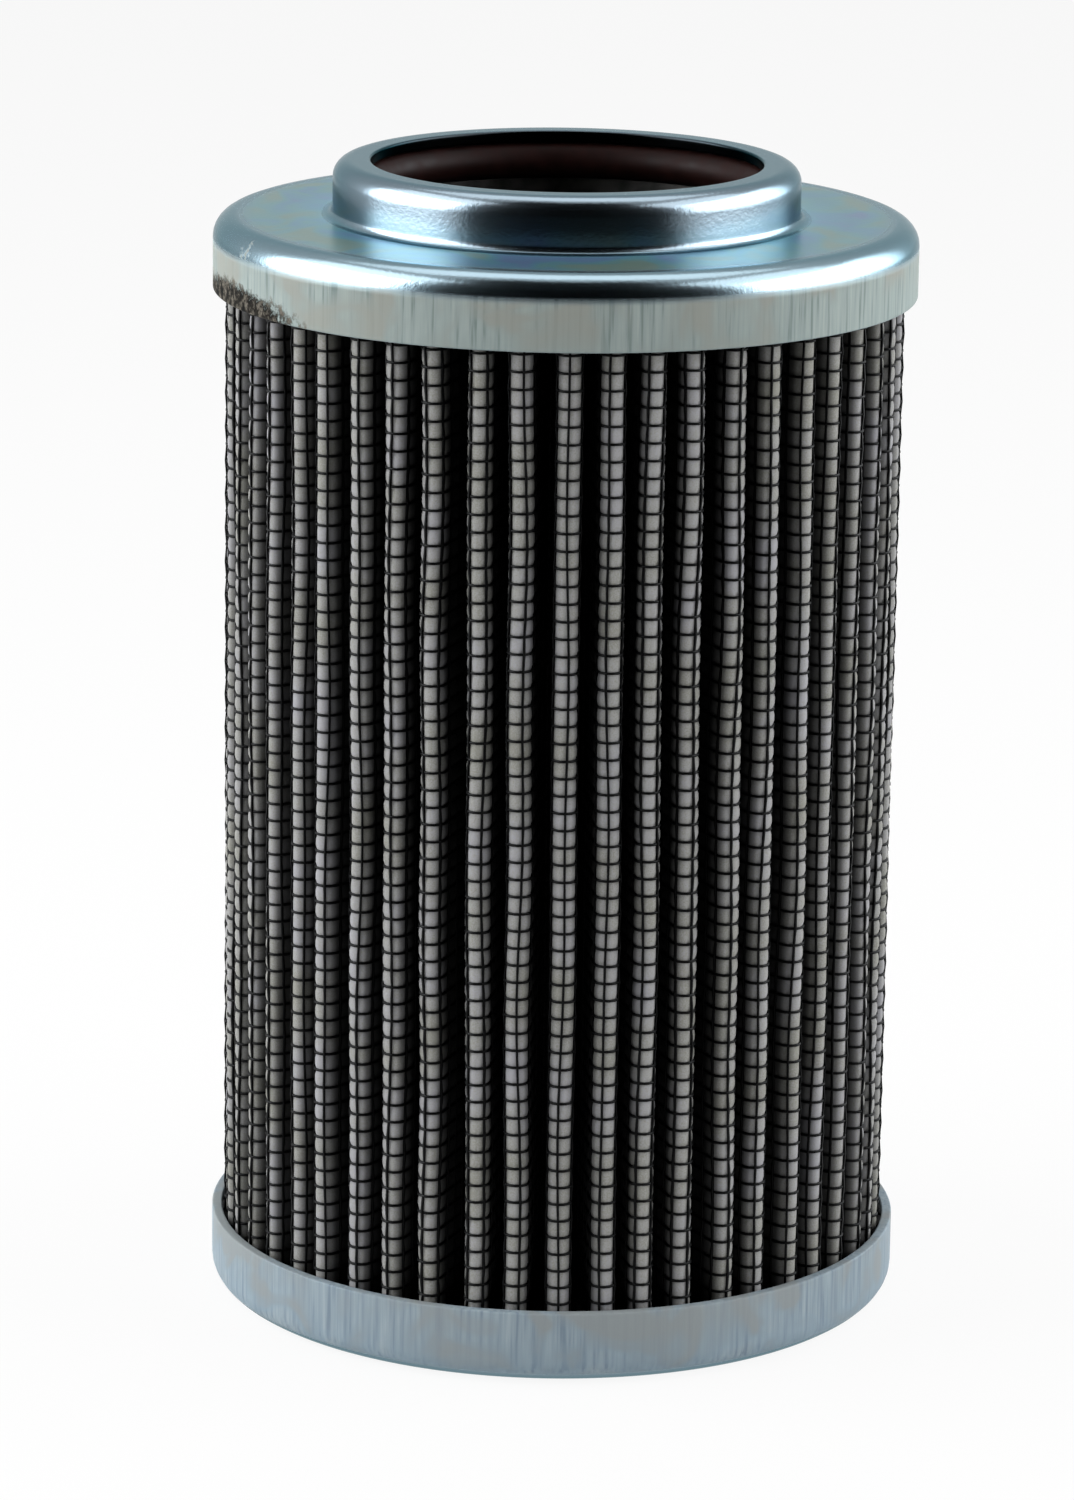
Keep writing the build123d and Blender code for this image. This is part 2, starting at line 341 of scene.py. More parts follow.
def closed_sheet(along, up, face, back, step):
    """Points and faces of a sheet between two depths, over a grid of columns and rows.

    The face has every row, and the back only each step-th one. Its lower and upper edges are
    closed by four-sided faces, and its two ends by faces that take in step rows of the face.
    """
    columns, rows, back_rows = len(along), len(up), (len(up) - 1) // step + 1
    rows_grid, columns_grid = np.meshgrid(up, along, indexing="ij")
    points = cloth(columns_grid, rows_grid, face(columns_grid, rows_grid)).reshape(-1, 3)
    behind = cloth(columns_grid[::step], rows_grid[::step], back).reshape(-1, 3)
    number = np.arange(rows * columns).reshape(rows, columns)
    hidden = rows * columns + np.arange(back_rows * columns).reshape(back_rows, columns)
    front_faces = grid_faces(rows, columns)
    back_faces = grid_faces(back_rows, columns)[:, ::-1] + rows * columns
    foot = np.stack([number[0, :-1], hidden[0, :-1], hidden[0, 1:], number[0, 1:]], 1)
    head = np.stack([number[-1, 1:], hidden[-1, 1:], hidden[-1, :-1], number[-1, :-1]], 1)
    steps = np.arange(back_rows - 1)[:, None] * step + np.arange(step + 1)
    start = np.concatenate([number[steps, 0], hidden[1:, :1], hidden[:-1, :1]], 1)
    end = np.concatenate([number[steps[:, ::-1], -1], hidden[:-1, -1:], hidden[1:, -1:]], 1)
    points = np.concatenate([points, behind])
    return points, np.concatenate([front_faces, back_faces, foot, head]), np.concatenate([start, end])


# %% [markdown]
# The fleece has three points to a cell near the tips, and only a few columns deep in the folds.
# Its back, which nothing shows, has one row for every nine of the face.

# %% The fleece's shape
SAMPLES = 3  # points to a cell
FINE_REACH = 3.7  # millimetres of cloth beside a tip that get every point
SPARSE_PLACE = FINE_REACH + 3.6  # one more column on the flank
BACK_STEP = 9
FLEECE_DEPTH = 0.28  # under the wires
FLEECE_SWELL = 0.19  # how far the middle of a cell stands above that
FULLNESS = 0.4  # power of the arches: under 1, so a cushion is flat in the middle
HELD_SWELL = 0.4  # part of the swelling that is left where the adhesive grips
FLEECE_BACK = 0.55
MEDIA_BACK = 1.10
HALVES = {"front": (-12, 11), "back": (12, 36)}  # the tips that each half of the ring takes in


def swollen_depth(along, up):
    """Depth of the fleece's face: two sine arches multiplied, so a cell is a small cushion."""
    arches = np.abs(np.sin(np.pi * along) * np.sin(np.pi * up)) ** FULLNESS
    return FLEECE_DEPTH - FLEECE_SWELL * arches * (HELD_SWELL + (1 - HELD_SWELL) * grip(up / WIRES_UP))


def fleece_columns(first, last):
    """Columns of one half: every sample near a tip, and a few set places deep in the folds."""
    sparse = places_beside_tips(first, last, (SPARSE_PLACE, *ROOT_PLACES))
    number = np.arange(np.ceil(sparse[0] * SAMPLES), sparse[-1] * SAMPLES) / SAMPLES
    return np.union1d(sparse, number[tip_distance(number) < FINE_REACH])


# %% [markdown]
# ### Black wire mesh
#
# The mesh is woven from coated steel wire, 15 wires to the inch. Crosswise wires run level round
# all the folds. Upright wires pass over one crosswise wire and under the next. Each wire is a
# four-sided tube along a line of the cloth. Its four corners are offsets in the cloth's own
# numbers, so a tube follows folds and sway by itself.

# %% Wires
WIRE_RADIUS = 0.15
WEAVE = 0.07  # how far an upright wire goes up and down
SIDES = 4  # of a wire's section
TIP_STEPS = 3  # pieces of a crosswise wire from a tip's middle to the end of its bend


def wire_tubes(along, up, depth):
    """Ring points of tubes whose middle lines are the rows of three equal arrays.

    The ring of a crosswise wire opens upwards and outwards, that of an upright wire sideways and
    outwards. The wire runs crosswise where the number of wires along it changes.
    """
    turn = 2 * np.pi * (np.arange(SIDES) + 0.5) / SIDES
    crosswise = float(np.ptp(along[0]) > np.ptp(up[0]))
    sideways = WIRE_RADIUS * np.sin(turn)
    ring_along = along[..., None] + (1 - crosswise) * sideways / PITCH_ROUND
    ring_up = up[..., None] + crosswise * sideways / PITCH_UP
    return cloth(ring_along, ring_up, depth[..., None] - WIRE_RADIUS * np.cos(turn))


def upright_wires(numbers, up):
    """Points and faces of upright wires, closed at both ends, that weave over and under."""
    along, up = np.broadcast_arrays(numbers[:, None].astype(float), up[None])
    depth = WIRE_DEPTH + WEAVE * np.cos(np.pi * (up + along))
    points = wire_tubes(along, up, depth)
    length = up.shape[1]
    faces = [grid_faces(length, SIDES, round_columns=True)]
    faces += [np.arange(SIDES)[None, ::-1], np.arange(SIDES)[None] + (length - 1) * SIDES]
    return points.reshape(-1, 3), repeated(np.concatenate(faces), len(numbers), length * SIDES)


def crosswise_wires(rows):
    """Points and faces of level wires, each a closed loop round all the folds."""
    distances = (*np.linspace(0, LENGTHS[1], TIP_STEPS + 1), *ROOT_PLACES)
    places = places_beside_tips(0, PLEATS - 1, distances)[:-1]  # the last place is the first again
    along, up = np.broadcast_arrays(places[None], rows[:, None].astype(float))
    points = wire_tubes(along, up, np.full(along.shape, WIRE_DEPTH))
    faces = grid_faces(len(places), SIDES, round_rows=True, round_columns=True)
    return points.reshape(-1, 3), repeated(faces, len(rows), len(places) * SIDES)


# %% [markdown]
# ### Turned shapes
#
# The caps were pressed from sheet, so a section turned about the axis gives them. A section is a
# list of corners, and where the sheet was bent the corner becomes an arc. Two points stand close
# to each end of a straight run. They keep the smooth shading of a bend from spreading over the
# flat sheet beside it.

# %% Turned shapes
TURN_STEPS = 288


def rounded_section(corners, arc_steps=7, margin=0.25):
    """Section points (radius, height). A corner with a bend becomes an arc that touches both sides.

    The arc's ends lie bend / tan(half the corner's angle) away from the corner, and its middle
    lies on the line that halves the angle, at bend / sin(half the angle).
    """
    places = np.array([corner[:2] for corner in corners], float)
    section = []
    for number, corner in enumerate(corners):
        bend = corner[2] if len(corner) == 3 else 0.0
        back = places[number - 1] - places[number]
        ahead = places[(number + 1) % len(corners)] - places[number]
        back, ahead = back / np.hypot(*back), ahead / np.hypot(*ahead)
        half = np.arccos(np.clip(back @ ahead, -1, 1)) / 2
        start = places[number] + back * bend / np.tan(half)
        end = places[number] + ahead * bend / np.tan(half)
        section.append(start + back * margin)
        if bend:
            middle = places[number] + (back + ahead) / np.hypot(*(back + ahead)) * bend / np.sin(half)
            blend = np.linspace(0, np.pi - 2 * half, arc_steps + 1)[:, None]
            across_start, across_end = start - middle, end - middle
            turn = np.sin(np.pi - 2 * half)
            arc = (across_start * np.sin(np.pi - 2 * half - blend) + across_end * np.sin(blend)) / turn
            section.extend(middle + arc)
        else:
            section.append(places[number])
        section.append(end + ahead * margin)
    return np.array(section)


def turned_points(section):
    """The section carried round the axis: radius times cosine and sine of the turn, and the height."""
    turn = np.linspace(0, 2 * np.pi, TURN_STEPS, endpoint=False)
    radius, height = section[:, 0], section[:, 1]
    x, y = np.outer(np.cos(turn), radius), np.outer(np.sin(turn), radius)
    return np.stack([x, y, np.broadcast_to(height, x.shape)], -1)


def turned_ring(name, corners):
    """A closed ring from its section."""
    points = turned_points(rounded_section(corners))
    return make_piece(name, points, grid_faces(*points.shape[:2], True, True), sharp_angle=35)


def turned_cup(name, section):
    """A closed cup. The section runs from near the axis out and back, and two flat faces close it."""
    points = turned_points(section)
    rows, columns = points.shape[:2]
    first = np.arange(rows) * columns
    flat_faces = np.stack([first, (first + columns - 1)[::-1]])
    return make_piece(name, points, grid_faces(rows, columns, True), flat_faces, sharp_angle=35)


# %% [markdown]
# ## Finishes
#
# ### Blue passivated zinc
#
# The caps were deep-drawn from steel sheet, zinc plated and passivated, which leaves a film that
# shows faint rainbow tints. The flat face and the collar stay smooth and mirror the room. The
# skirt was drawn through a die, so it is duller, with fine upright streaks. One material does
# both: the distance from the axis and the height tell which zone a point lies in. A zone fades
# in over a short way, so no hard line shows. A third zone is the bend at the collar's foot.

# %% Zones of a cap
def object_place(tree):
    """Object coordinates, and the distance from the axis in metres."""
    place = add(tree, "TexCoord").outputs["Object"]
    flat = add(tree, "VectorMath", {0: place, 1: (1.0, 1.0, 0.0)}, operation="MULTIPLY")
    radius = add(tree, "VectorMath", {0: flat}, operation="LENGTH").outputs["Value"]
    return place, radius


def zone(tree, *fades):
    """A product of fades: each is a measure, and the two values in mm where it is 0 and where it is 1."""
    product = 1.0
    for measure, none, full in fades:
        fade = add(tree, "MapRange", {0: measure, 1: none * MM, 2: full * MM})
        product = add(tree, "Math", {0: product, 1: fade}, operation="MULTIPLY")
    return product


SKIRT_FADE_IN = (32.0, 33.6)  # distances from the axis
SKIRT_TOP_FADE = 0.8
SKIRT_FOOT_FADE = 0.4
FOOT_LEVELS = (SHOULDER_LEVEL + 1.0, SHOULDER_LEVEL + 0.5)
OVER_DISC_LEVELS = (SHOULDER_LEVEL - 0.7, SHOULDER_LEVEL - 0.2)
FOOT_RADII = (COLLAR_RADIUS + 1.0, COLLAR_RADIUS + 0.6)

# %% [markdown]
# The colours go by the share of the cap's radius. The bore's cut edge is near black, painted shade
# inside the bore, and the collar is plain zinc. The flat disc round it has a milky blue film, so it
# is half as metallic and rougher, and violet, blue and straw tints lie on it like clouds, where the
# film is thicker or thinner.
#
# The skirt's streaks are a noise that is stretched upwards. Where the clouds are thin the streaks
# are rubbed away and an even grey is left, which changes a little near the skirt's foot.

# %% Colours of the zinc
GRAZING_TINT = (0.46, 0.57, 0.60, 1.0)  # what is left of a mirror image at a low angle
FILM_AND_BORE_SHADE_BY_SHARE = [
    # the first stop is painted shade: the bore's cut edge is drawn near black
    (0.557, "#08090A"), (0.562, "#75828B"), (0.665, "#75828B"), (0.70, "#5F97A8"),
    (0.80, "#4B757F"), (0.89, "#50757E"), (0.93, "#7C8E97"),
]
FILM_TINTS = [(0.36, "#6766A2"), (0.45, "#5480A2"), (0.55, "#5D8E8E"), (0.64, "#80866A")]
TINT_BY_SHARE = [(0.67, 0.0), (0.72, 0.5), (0.88, 0.5), (0.93, 0.0)]
ROUGHNESS_BY_SHARE = [(0.665, 0.20), (0.70, 0.29), (0.91, 0.29), (0.94, 0.20)]
METAL_BY_SHARE = [(0.68, 1.0), (0.70, 0.52), (0.90, 0.52), (0.94, 1.0)]
CLOUDS = 125.0  # to the metre, so a cloud is 8 mm wide
STREAKS = (2300.0, 2300.0, 90.0)  # to the metre: 0.4 mm wide and 11 mm tall
PEEL = 2400.0  # to the metre: the faint orange peel of the plating, 0.4 mm
SHIFT_HEIGHT = 5.5  # height over a skirt's foot in which the even grey changes


def face_colour(tree, share, cloud):
    """The film's colour at a share of the radius, with some of the clouds' tints laid over it."""
    film = add(tree, "ValToRGB", {0: share}, stops=FILM_AND_BORE_SHADE_BY_SHARE)
    tint = add(tree, "ValToRGB", {0: cloud}, stops=FILM_TINTS)
    tinted = add(tree, "ValToRGB", {0: share}, stops=TINT_BY_SHARE)
    return add(tree, "Mix", {0: tinted, 6: film, 7: tint}, data_type="RGBA").outputs[2]


def skirt_colour(tree, height, cloud, streak, skirt_foot, streak_colours, even_colours):
    """Streaks where the clouds are dense, and elsewhere an even colour that shifts above the foot."""
    streaked = add(tree, "ValToRGB", {0: streak}, stops=streak_colours)
    rubbed = add(tree, "MapRange", {0: cloud, 1: 0.42, 2: 0.60, 3: 0.15, 4: 1.0})
    levels = {1: skirt_foot * MM, 2: (skirt_foot + SHIFT_HEIGHT) * MM}
    rise = add(tree, "MapRange", {0: height, **levels, 3: 0.1, 4: -0.1})
    patchy = add(tree, "Math", {0: cloud, 1: rise}, operation="ADD")
    even = add(tree, "ValToRGB", {0: patchy}, stops=even_colours)
    return add(tree, "Mix", {0: rubbed, 6: even, 7: streaked}, data_type="RGBA").outputs[2]


# %% [markdown]
# The upper cap has a corroded patch at its skirt's foot on the left, and a worn speck on the
# shoulder above it. A patch is a ball-shaped fade, which a noise eats into from the edge. Inside
# it the metal is covered: rough, dull, brown or grey, and gritty.

# %% Corroded patches
GRIT = 1100.0  # to the metre: grains of about 0.9 mm with finer ones in them


def corroded(tree, place, surface, middle, reach, weight, colours):
    """The colour, roughness, relief and metal of a surface, changed inside one patch.

    The patch's middle and its reach along each axis are in mm. A Mapping moves the middle to the
    origin and makes the reach 1, which is where a spherical gradient ends. The grit, less 0.56 of
    its range, is added to the gradient, and a ramp makes the sum a crisp, ragged edge.
    """
    scale = 1 / (np.array(reach) * MM)
    moved = {"Location": (-np.array(middle) * MM * scale).tolist(), "Scale": scale.tolist()}
    spot_place = add(tree, "Mapping", {"Vector": place, **moved})
    spot = add(tree, "TexGradient", {"Vector": spot_place}, gradient_type="SPHERICAL")
    grit = add(tree, "TexNoise", {"Vector": place, "Scale": GRIT, "Detail": 6.0, "Roughness": 0.7})
    eaten = add(tree, "Math", {0: grit, 1: 1.1, 2: -0.62}, operation="MULTIPLY_ADD")
    eaten = add(tree, "Math", {0: spot, 1: weight, 2: eaten}, operation="MULTIPLY_ADD")
    edge = add(tree, "ValToRGB", {0: eaten}, stops=[(0.12, 0.0), (0.28, 1.0)])
    near = add(tree, "Math", {0: spot, 1: 0.02}, operation="GREATER_THAN")
    mask = add(tree, "Math", {0: edge, 1: near}, operation="MULTIPLY")
    rust = add(tree, "ValToRGB", {0: grit}, stops=colours)
    colour, roughness, relief, metal = surface
    colour = add(tree, "Mix", {0: mask, 6: colour, 7: rust}, data_type="RGBA").outputs[2]
    covered = [(roughness, 0.8), (relief, grit), (metal, 0.1)]
    return colour, *[add(tree, "Mix", {0: mask, 2: bare, 3: worn}).outputs[0] for bare, worn in covered]


# %% [markdown]
# The whole zinc is put together from these. The relief is orange peel on the smooth faces, and
# fine scores where the sheet was drawn: on the skirt and in the bend at the collar's foot.

# %% Zinc plating
def zinc_plate(name, skirt_foot, skirt_top, least_share, streak_colours, even_colours, wear=()):
    """Zinc-plated steel: a smooth face tinted by its distance from the axis, and a matt streaked skirt.

    The skirt lies between two heights in mm. A least share above 0 gives the middle of a closed
    cap the finish of the ring at that share. Wear lists what corroded() needs for each patch.
    """
    material, tree, shader = new_material(name, Specular_Tint=GRAZING_TINT)
    place, radius = object_place(tree)
    height = add(tree, "SeparateXYZ", {0: place}).outputs["Z"]
    top_fade = (height, skirt_top, skirt_top - SKIRT_TOP_FADE)
    foot_fade = (height, skirt_foot, skirt_foot + SKIRT_FOOT_FADE)
    skirt = zone(tree, (radius, *SKIRT_FADE_IN), top_fade, foot_fade)
    foot = zone(tree, (height, *FOOT_LEVELS), (height, *OVER_DISC_LEVELS), (radius, *FOOT_RADII))
    share = add(tree, "Math", {0: radius, 1: CAP_RADIUS * MM}, operation="DIVIDE")
    share = add(tree, "Math", {0: share, 1: least_share}, operation="MAXIMUM")

    cloud = add(tree, "TexNoise", {"Vector": place, "Scale": CLOUDS, "Detail": 2.0, "Distortion": 1.0})
    streak_place = add(tree, "Mapping", {"Vector": place, "Scale": STREAKS})
    streak = add(tree, "TexNoise", {"Vector": streak_place, "Scale": 1.0, "Detail": 3.0})
    peel = add(tree, "TexNoise", {"Vector": place, "Scale": PEEL, "Detail": 3.0, "Roughness": 0.6})

    face = face_colour(tree, share, cloud)
    wall = skirt_colour(tree, height, cloud, streak, skirt_foot, streak_colours, even_colours)
    colour = add(tree, "Mix", {0: skirt, 6: face, 7: wall}, data_type="RGBA").outputs[2]
    bright = add(tree, "ValToRGB", {0: share}, stops=ROUGHNESS_BY_SHARE)
    dull = add(tree, "MapRange", {0: streak, 1: 0.3, 2: 0.7, 3: 0.42, 4: 0.60})
    roughness = add(tree, "Mix", {0: skirt, 2: bright, 3: dull}).outputs[0]
    drawn = add(tree, "Math", {0: foot, 1: skirt}, operation="MAXIMUM")
    relief = add(tree, "Mix", {0: drawn, 2: peel, 3: streak}).outputs[0]
    milky = add(tree, "ValToRGB", {0: share}, stops=METAL_BY_SHARE)
    metal = add(tree, "Mix", {0: skirt, 2: milky, 3: 0.0}).outputs[0]
    gloss = add(tree, "MapRange", {0: skirt, 3: 0.5, 4: 0.06})

    surface = (colour, roughness, relief, metal)
    for patch in wear:
        surface = corroded(tree, place, surface, *patch)
    colour, roughness, relief, metal = surface
    bump = add(tree, "Bump", {"Strength": 0.5, "Distance": 0.032 * MM, "Height": relief})
    fill(shader, {"Base Color": colour, "Roughness": roughness, "Metallic": metal})
    fill(shader, {"Specular IOR Level": gloss, "Normal": bump})
    return material


# %% [markdown]
# The upper skirt is a greener grey than the lower one, which has a bluer film. Its finish ends at
# the bend and just over the cut edge, and the lower one's begins half-way up the bend. The closed
# face has one finish right across, with few tints.

# %% Zinc of both caps
UPPER_STREAKS = [(0.36, "#7A8885"), (0.45, "#94A09E"), (0.7, "#A3AEAB")]
UPPER_EVEN = [(0.36, "#979A93"), (0.62, "#919F9E")]
LOWER_STREAKS = [(0.32, "#7F8F9C"), (0.45, "#93A2AC"), (0.7, "#A4B2B9")]
LOWER_EVEN = [(0.34, "#959B9C"), (0.62, "#88A0B1")]
SCUFF = ((-31.77, -12.74, 100.34), (16.13, 16.13, 3.40), 1.0)  # middle, reach and weight
SCUFF_COLOURS = [(0.38, "#0A0A09"), (0.5, "#24211D"), (0.64, "#706B62")]
SPECK = ((-29.43, -15.14, 106.29), (2.86, 2.86, 1.43), 0.37)
SPECK_COLOURS = [(0.38, "#2C2B27"), (0.5, "#56544A"), (0.64, "#7A7768")]
WEAR = ((*SCUFF, SCUFF_COLOURS), (*SPECK, SPECK_COLOURS))
UPPER_SKIRT = (100.3, 105.7)
LOWER_SKIRT = (0.8, 20.0)
CLOSED_SHARE = 0.91
upper_zinc = zinc_plate("zinc_plated_upper_cap", *UPPER_SKIRT, 0.0, UPPER_STREAKS, UPPER_EVEN, WEAR)
lower_zinc = zinc_plate("zinc_plated_lower_cap", *LOWER_SKIRT, CLOSED_SHARE, LOWER_STREAKS, LOWER_EVEN)
for material in (upper_zinc, lower_zinc):
    print(material.name, "has", len(material.node_tree.nodes), "nodes")

# %% [markdown]
# ### Fleece, glass web and drainage mesh
#
# The fleece is a thermally bonded polyester felt. It is matt and warm grey, and its fibres give
# it a faint mottle. Its fibres are far thinner than a pixel, so the grain is drawn 0.15 mm wide.
# Less light reaches a fold's flanks than its tip, so the colour is painted darker towards the axis:
# painted shade in the folds.

# %% Felts
BLOTCH = 120.0  # to the metre: soft blotches of 8 mm


def felt(name, colours, grain_mm, roughness, shade):
    """Matt felt: fibre mottle in colour and in a slight bump, and painted shade by distance from the axis."""
    material, tree, shader = new_material(name, Roughness=roughness)
    place, radius = object_place(tree)
    fibre = add(tree, "TexNoise", {"Vector": place, "Scale": 1 / (grain_mm * MM), "Detail": 3.0})
    blotch = add(tree, "TexNoise", {"Vector": place, "Scale": BLOTCH, "Detail": 2.0})
    mottle = add(tree, "Math", {0: fibre, 1: blotch}, operation="ADD")
    half = add(tree, "Math", {0: mottle, 1: 0.5}, operation="MULTIPLY")
    colour = add(tree, "ValToRGB", {0: half}, stops=colours)
    share = add(tree, "Math", {0: radius, 1: CAP_RADIUS * MM}, operation="DIVIDE")
    # painted shade: the colour darkens towards the axis, deep in the folds
    depth = add(tree, "ValToRGB", {0: share}, stops=shade)
    shaded = add(tree, "Mix", {0: 1.0, 6: colour, 7: depth}, data_type="RGBA", blend_type="MULTIPLY")
    bump = add(tree, "Bump", {"Strength": 0.5, "Distance": 0.03 * MM, "Height": fibre})
    fill(shader, {"Base Color": shaded.outputs[2], "Normal": bump})
    return material


# painted shade of the folds: share of the cap's radius, and how much of the colour is left there
FOLD_SHADE = [(0.890, 0.012), (0.924, 0.09), (0.945, 0.36), (0.960, 1.0)]
EVEN_SHADE = [(0.0, 1.0), (1.0, 1.0)]
FLEECE_COLOURS = [(0.38, "#8E8E86"), (0.5, "#9C9C9A"), (0.62, "#A2A2A8")]
GLASS_COLOURS = [(0.35, "#D8D8D4"), (0.65, "#E6E6E2")]
pale_fleece = felt("polyester_fleece", FLEECE_COLOURS, 0.15, 0.95, FOLD_SHADE)
glass_web = felt("glass_fibre_web", GLASS_COLOURS, 0.1, 0.9, EVEN_SHADE)
print("felts", pale_fleece.name, glass_web.name)

# %% [markdown]
# The drainage mesh is hardly seen, so a plain sheet with two crossing sets of bands is enough.

# %% Drainage mesh
BANDS_AT_SCALE_ONE = 3.2  # how many bands a wave texture draws to a metre at a scale of 1


def woven(name, colours, pitch_mm, **surface):
    """Fine woven wire on a cloth too fine to model: two sets of bands crossing each other."""
    material, tree, shader = new_material(name, **surface)
    place = add(tree, "TexCoord").outputs["Object"]
    bands = {"Vector": place, "Scale": 1 / (pitch_mm * MM * BANDS_AT_SCALE_ONE)}
    level = add(tree, "TexWave", bands, bands_direction="Z").outputs["Fac"]
    upright = add(tree, "TexWave", bands, bands_direction="DIAGONAL").outputs["Fac"]
    most = add(tree, "Math", {0: level, 1: upright}, operation="MAXIMUM")
    colour = add(tree, "ValToRGB", {0: most}, stops=colours)
    bump = add(tree, "Bump", {"Strength": 0.6, "Distance": 0.1 * MM, "Height": most})
    fill(shader, {"Base Color": colour, "Normal": bump})
    return material


DRAINAGE_COLOURS = [(0.3, "#2A2A2A"), (0.8, "#8A8A88")]
drainage_mesh = woven("stainless_drainage_mesh", DRAINAGE_COLOURS, 1.0, Metallic=1.0, Roughness=0.4)
print("weave", drainage_mesh.name)

# %% [markdown]
# ### Coated wire, seal rubber, adhesive and plain steel
#
# The wire has a black epoxy coat and the seal is a brown rubber with a moulded skin, drawn darker
# than its own brown as painted shade under the lip. Both mirror little, so they stay dark lines
# between bright parts. The adhesive was poured as a liquid and set glossy, with slow waves. The
# tube and the retainer are plain steel, drawn near black as painted shade deep inside the bore.

# %% Other finishes
def mottled(name, colours, grain_mm, relief_mm, rough, **surface):
    """A surface whose colour, roughness and relief follow one noise of a given grain."""
    material, tree, shader = new_material(name, **surface)
    place = add(tree, "TexCoord").outputs["Object"]
    grain = add(tree, "TexNoise", {"Vector": place, "Scale": 1 / (grain_mm * MM), "Detail": 3.0})
    colour = add(tree, "ValToRGB", {0: grain}, stops=[(0.3, colours[0]), (0.7, colours[1])])
    roughness = add(tree, "MapRange", {0: grain, 1: 0.3, 2: 0.7, 3: rough[0], 4: rough[1]})
    bump = add(tree, "Bump", {"Strength": 0.5, "Distance": relief_mm * MM, "Height": grain})
    fill(shader, {"Base Color": colour, "Roughness": roughness, "Normal": bump})
    return material


WIRE_COLOURS = ("#020202", "#060708")
# the seal's own dark brown, made darker still as painted shade under the lip
RUBBER_AND_SHADE_COLOURS = ("#120706", "#1D0C0A")
EPOXY_COLOURS = ("#0A0B0C", "#15171A")
# painted shade: the plain steel drawn near black, deep inside the bore
STEEL_SHADE_COLOURS = ("#282827", "#403F3D")
black_wire = mottled("epoxy_coated_wire", WIRE_COLOURS, 0.8, 0.01, (0.45, 0.6), Specular_IOR_Level=0.1)
seal_rubber = mottled("brown_fluoro_rubber", RUBBER_AND_SHADE_COLOURS, 1.5, 0.01, (0.45, 0.6), Specular_IOR_Level=0.06)
dark_epoxy = mottled("cast_epoxy_adhesive", EPOXY_COLOURS, 3.0, 0.25, (0.08, 0.16), IOR=1.55)
plain_steel = mottled("plain_steel_painted_shade", STEEL_SHADE_COLOURS, 2.0, 0.02, (0.4, 0.55), Metallic=1.0)
print("other finishes", [material.name for material in (black_wire, seal_rubber, dark_epoxy, plain_steel)])

# %% [markdown]
# ## Making the pieces
#
# ### Fleece
#
# The fleece is made in two halves, each a closed sheet over its own columns.

# %% Fleece pieces
fleece_rows = np.arange(WIRES_UP * SAMPLES + 1) / SAMPLES
for half, (first, last) in HALVES.items():
    columns = fleece_columns(first, last)
    layer = closed_sheet(columns, fleece_rows, swollen_depth, FLEECE_BACK, BACK_STEP)
    fleece = make_piece(f"fleece_{half}", *layer)
    place_piece(fleece, "outer_fleece", pale_fleece)

# %% [markdown]
# The two layers behind the fleece follow the same folds at their own depths, with fewer points.

# %% Glass web and drainage mesh, behind the fleece
BEND_POINTS = 4  # columns from a tip's middle to the end of its bend
coarse_rows = fleece_rows[::BACK_STEP]
coarse_columns = places_beside_tips(0, PLEATS - 1, (*np.linspace(0, LENGTHS[1], BEND_POINTS), *ROOT_PLACES))
for name, node, slot, material, face, back in (
    ("glass_web", "filter_media", "glass_fibre_web", glass_web, FLEECE_BACK, MEDIA_BACK),
    ("drainage_cloth", "inner_mesh", "drainage_mesh", drainage_mesh, MEDIA_BACK, PACK_DEPTH),
):
    layer = closed_sheet(coarse_columns, coarse_rows, lambda along, up, depth=face: depth, back, 1)
    place_piece(make_piece(name, *layer), node, material)

# %% [markdown]
# ### Wires
#
# Wires near a tip show, so they have a point at every crossing. Those deep in the folds are only
# dark lines, and get a point at about every sixth. Both kinds go into one mesh.

# %% Wire pieces
WIRE_REACH = 4.6  # millimetres of cloth beside a tip with fully detailed upright wires
DEEP_POINTS = 11  # points of an upright wire deep in a fold
numbers = np.arange(WIRES_ROUND)
near_tip = tip_distance(numbers) < WIRE_REACH
near_points, near_faces = upright_wires(numbers[near_tip], np.arange(WIRES_UP + 1))
deep_points, deep_faces = upright_wires(numbers[~near_tip], np.linspace(0, WIRES_UP, DEEP_POINTS))
wire_faces = np.concatenate([near_faces, deep_faces + len(near_points)])
upright = make_piece("upright_wires", np.concatenate([near_points, deep_points]), wire_faces)
place_piece(upright, "outer_mesh", black_wire)
middle_row = WIRES_UP // 2
for name, rows in (("lower", np.arange(1, middle_row + 1)), ("upper", np.arange(middle_row + 1, WIRES_UP))):
    level = make_piece(f"crosswise_wires_{name}", *crosswise_wires(rows))
    place_piece(level, "outer_mesh", black_wire)

# %% [markdown]
# ### Side seam
#
# Where the two ends of the folded sheet meet, a strip of adhesive fills the slit of the rearmost
# fold. Its section has four corners on the drainage mesh's two faces.

